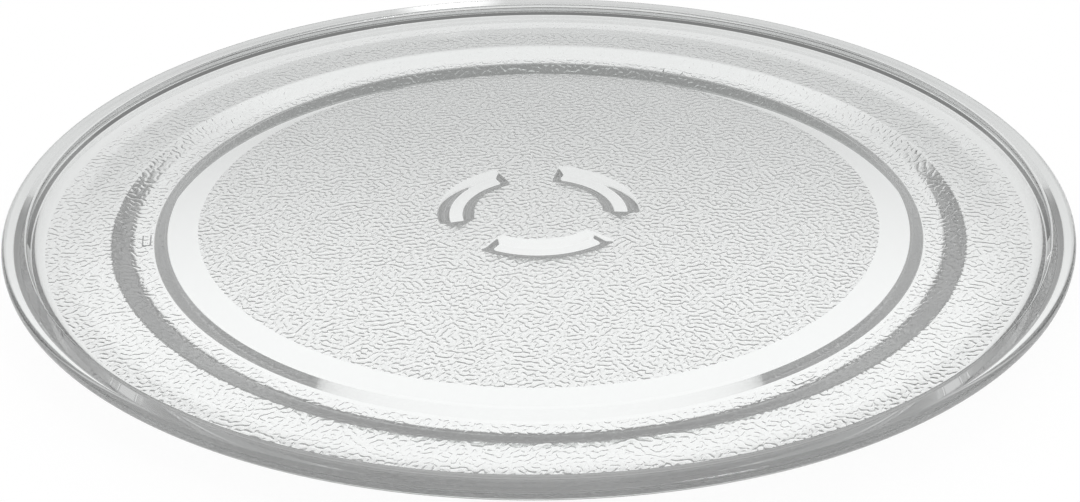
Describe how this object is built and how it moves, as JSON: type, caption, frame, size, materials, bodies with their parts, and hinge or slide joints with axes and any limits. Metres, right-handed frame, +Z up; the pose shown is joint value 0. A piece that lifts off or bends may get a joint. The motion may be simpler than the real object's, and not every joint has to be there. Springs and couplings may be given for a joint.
{
  "type": "microwave turntable plate",
  "caption": "Round pressed clear glass plate with a raised lip, a foot ridge that keeps its rollers in, and arc lugs under its centre by which a drive coupler turns it.",
  "frame": {"origin": "on the plate's axis, at the level where the rest pads touch a table", "axes": "+Z up along the plate's axis, out of the dish; +X and +Y across the plate"},
  "size_m": [0.36, 0.36, 0.0179],
  "materials": {
    "clear_glass": "clear pressed glass, smooth on top, stippled underneath apart from the roller track"
  },
  "bodies": {
    "root": {"turntable_plate": "clear_glass"}
  },
  "joints": []
}
